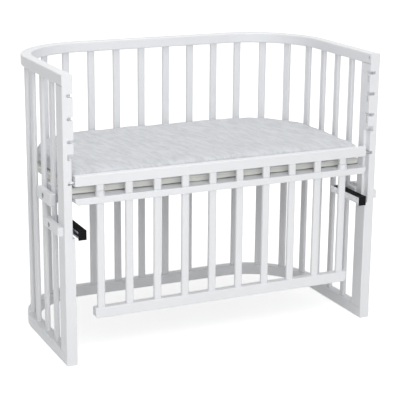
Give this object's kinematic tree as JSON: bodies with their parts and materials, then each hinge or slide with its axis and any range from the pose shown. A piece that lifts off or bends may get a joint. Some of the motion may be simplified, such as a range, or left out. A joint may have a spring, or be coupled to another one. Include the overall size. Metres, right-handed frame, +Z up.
{
  "type": "bedside sleeper crib",
  "caption": "Slatted bedside crib with a rounded back and an open front: adjustable bed base with mattress, lowered closing rail and slide bars that hold it to a bed",
  "frame": {"origin": "on the floor, at the middle of the crib's overall width and depth", "axes": "+X to the right along the open front, +Y from the open front to the rounded back, +Z up"},
  "size_m": [0.975, 0.552, 0.79],
  "materials": {
    "white_lacquer": "satin white lacquer over laminated beech",
    "beech": "bare beech dowel",
    "zinc": "zinc-plated steel",
    "cream_board": "lacquered board with a cream edge",
    "mattress_cover": "mottled grey-white knitted cover",
    "white_plastic": "white moulded plastic",
    "black_screw": "blackened steel",
    "galvanised": "galvanised steel channel",
    "black_plastic": "black strip and plate"
  },
  "bodies": {
    "frame": {"top_rail_left": "white_lacquer", "top_rail_back": "white_lacquer", "top_rail_right": "white_lacquer", "bottom_rail_left": "white_lacquer", "bottom_rail_back": "white_lacquer", "bottom_rail_right": "white_lacquer", "front_post_left": "white_lacquer", "front_post_right": "white_lacquer", "frame_slat_01": "white_lacquer", "frame_slat_02": "white_lacquer", "frame_slat_03": "white_lacquer", "frame_slat_04": "white_lacquer", "frame_slat_05": "white_lacquer", "frame_slat_06": "white_lacquer", "frame_slat_07": "white_lacquer", "frame_slat_08": "white_lacquer", "frame_slat_09": "white_lacquer", "frame_slat_10": "white_lacquer", "frame_slat_11": "white_lacquer", "frame_slat_12": "white_lacquer", "frame_slat_13": "white_lacquer", "frame_slat_14": "white_lacquer", "frame_slat_15": "white_lacquer", "frame_slat_16": "white_lacquer", "frame_slat_17": "white_lacquer", "frame_slat_18": "white_lacquer", "frame_slat_19": "white_lacquer", "frame_slat_20": "white_lacquer", "frame_dowels": "beech", "rail_cams": "zinc", "rail_pins": "zinc"},
    "closing_rail": {"closing_rail_top": "white_lacquer", "closing_rail_bottom": "white_lacquer", "closing_slat_01": "white_lacquer", "closing_slat_02": "white_lacquer", "closing_slat_03": "white_lacquer", "closing_slat_04": "white_lacquer", "closing_slat_05": "white_lacquer", "closing_slat_06": "white_lacquer", "closing_slat_07": "white_lacquer", "closing_slat_08": "white_lacquer", "closing_slat_09": "white_lacquer", "closing_slat_10": "white_lacquer"},
    "base": {"front_beam": "white_lacquer", "base_panel": "cream_board", "mattress": "mattress_cover", "slat_collars": "white_plastic", "base_clamp_outer": "white_lacquer", "base_clamp_inner": "white_lacquer", "base_clamp_screws": "black_screw"},
    "bar_mount_left": {"bar_clamp_outer_left": "white_lacquer", "bar_clamp_inner_left": "white_lacquer", "bar_clamp_screw_left": "black_screw"},
    "bar_left": {"slide_bar_left": "galvanised", "bar_cover_left": "black_plastic"},
    "bar_mount_right": {"bar_clamp_outer_right": "white_lacquer", "bar_clamp_inner_right": "white_lacquer", "bar_clamp_screw_right": "black_screw"},
    "bar_right": {"slide_bar_right": "galvanised", "bar_cover_right": "black_plastic"}
  },
  "joints": [
    {"name": "closing_rail_lift", "type": "slide", "parent": "frame", "child": "closing_rail", "axis": [0, 0, 1], "range_m": [0, 0.21]},
    {"name": "base_height", "type": "slide", "parent": "frame", "child": "base", "axis": [0, 0, 1], "range_m": [-0.03, 0.015]},
    {"name": "bar_height_left", "type": "slide", "parent": "frame", "child": "bar_mount_left", "axis": [0, 0, 1], "range_m": [-0.1, 0]},
    {"name": "bar_height_right", "type": "slide", "parent": "frame", "child": "bar_mount_right", "axis": [0, 0, 1], "range_m": [-0.1, 0]},
    {"name": "bar_slide_left", "type": "slide", "parent": "bar_mount_left", "child": "bar_left", "axis": [0, -1, 0], "range_m": [0, 0.06]},
    {"name": "bar_slide_right", "type": "slide", "parent": "bar_mount_right", "child": "bar_right", "axis": [0, -1, 0], "range_m": [0, 0.06]}
  ]
}
